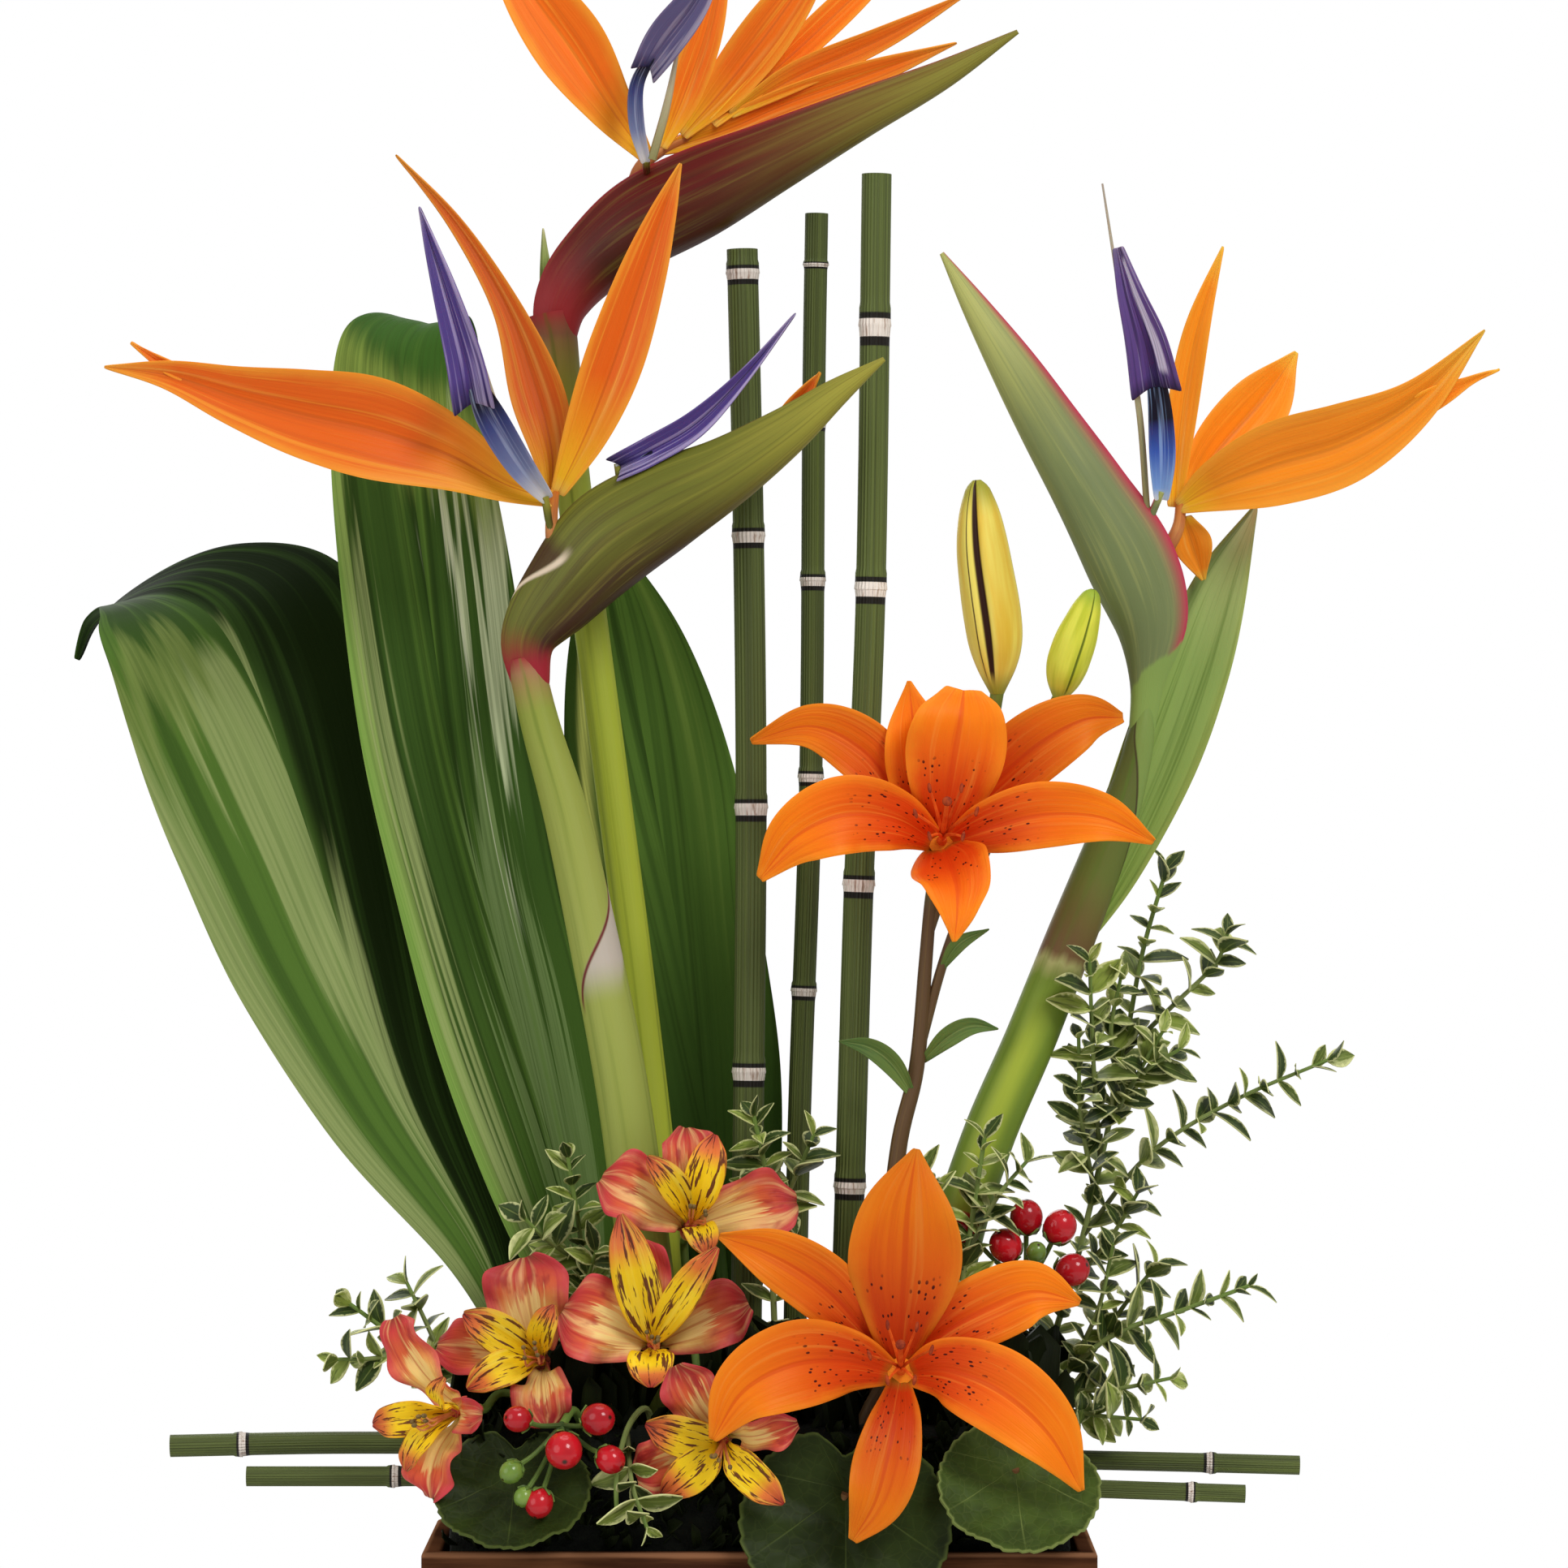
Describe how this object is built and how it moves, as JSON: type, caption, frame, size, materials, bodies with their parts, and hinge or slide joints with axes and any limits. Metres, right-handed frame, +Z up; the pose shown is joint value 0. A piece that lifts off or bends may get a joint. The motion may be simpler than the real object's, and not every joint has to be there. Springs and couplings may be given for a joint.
{
  "type": "tropical flower arrangement in a wooden box",
  "caption": "Cut bird of paradise, lilies, alstroemeria, ti leaves, horsetail, berries and leafy sprays standing in foam in a dark rectangular wooden box.",
  "frame": {"origin": "centre of the underside of the wooden box, on the surface that it stands on", "axes": "+Z up out of the box, +X along the box's long side to the right of someone facing it, -Y towards them out of the box's front"},
  "size_m": [0.4795, 0.1819, 0.6444],
  "materials": {
    "box_wood": "dark brown stained wood, satin, with a paler worn edge along the rim",
    "liner": "thin black plastic tray",
    "foam": "wet dark green floral foam, rough and dull",
    "ti_leaf": "waxy deep green leaf with paler streaks along its veins",
    "horsetail": "matt dark green ribbed stem with pale and black rings at its joints",
    "bird_green": "smooth green stem and beak, flushed dark red",
    "bird_orange": "silky orange petal with a yellow foot",
    "bird_blue": "violet to dark blue petal with a pale foot",
    "lily_orange": "soft bright orange petal with dark freckles near the throat",
    "lily_stamen": "orange filaments with rust brown anthers",
    "lily_green": "slender green stem flushed brownish purple",
    "bud_yellow": "smooth ochre bud with dark brown grooves",
    "bud_green": "smooth yellow green bud",
    "alstroemeria_coral": "soft coral petal with yellow towards its middle",
    "alstroemeria_yellow": "soft yellow petal with fine dark streaks",
    "alstroemeria_green": "smooth thin green stem",
    "hypericum_red": "glossy red berries on green twigs",
    "galax_green": "leathery dark green leaf with a paler edge",
    "box_leaf": "small green leaves with cream margins"
  },
  "bodies": {
    "root": {"wooden_box": "box_wood", "plastic_liner": "liner", "foam_block": "foam", "ti_leaf_left": "ti_leaf", "ti_leaf_centre": "ti_leaf", "ti_leaf_right": "ti_leaf", "horsetail_left": "horsetail", "horsetail_middle": "horsetail", "horsetail_right": "horsetail", "horsetail_side_left_upper": "horsetail", "horsetail_side_left_lower": "horsetail", "horsetail_side_right_upper": "horsetail", "horsetail_side_right_lower": "horsetail", "bird_top_stem_and_beak": "bird_green", "bird_top_sepals": "bird_orange", "bird_top_tongue_a": "bird_blue", "bird_left_stem_and_beak": "bird_green", "bird_left_sepals": "bird_orange", "bird_left_tongue_a": "bird_blue", "bird_left_tongue_b": "bird_blue", "bird_right_stem_and_beak": "bird_green", "bird_right_sepals": "bird_orange", "bird_right_tongue_a": "bird_blue", "lily_upper_tepals": "lily_orange", "lily_upper_stamens": "lily_stamen", "lily_lower_tepals": "lily_orange", "lily_lower_stamens": "lily_stamen", "lily_stem_upper": "lily_green", "lily_stem_lower": "lily_green", "lily_bud_large": "bud_yellow", "lily_bud_small": "bud_green", "alstroemeria_a_outer": "alstroemeria_coral", "alstroemeria_a_inner": "alstroemeria_yellow", "alstroemeria_b_outer": "alstroemeria_coral", "alstroemeria_b_inner": "alstroemeria_yellow", "alstroemeria_c_outer": "alstroemeria_coral", "alstroemeria_c_inner": "alstroemeria_yellow", "alstroemeria_d_outer": "alstroemeria_coral", "alstroemeria_d_inner": "alstroemeria_yellow", "alstroemeria_e_outer": "alstroemeria_coral", "alstroemeria_e_inner": "alstroemeria_yellow", "alstroemeria_stem_middle": "alstroemeria_green", "alstroemeria_stem_left": "alstroemeria_green", "hypericum_left": "hypericum_red", "hypericum_right": "hypericum_red", "galax_leaf_left": "galax_green", "galax_leaf_middle": "galax_green", "galax_leaf_right": "galax_green", "galax_leaf_back_left": "galax_green", "galax_leaf_back_middle": "galax_green", "galax_leaf_back_right": "galax_green", "box_spray_right_tall": "box_leaf", "box_spray_right_low": "box_leaf", "box_spray_left": "box_leaf", "box_spray_left_middle": "box_leaf", "box_spray_middle": "box_leaf", "box_spray_right_middle": "box_leaf", "box_spray_front": "box_leaf"}
  },
  "joints": []
}
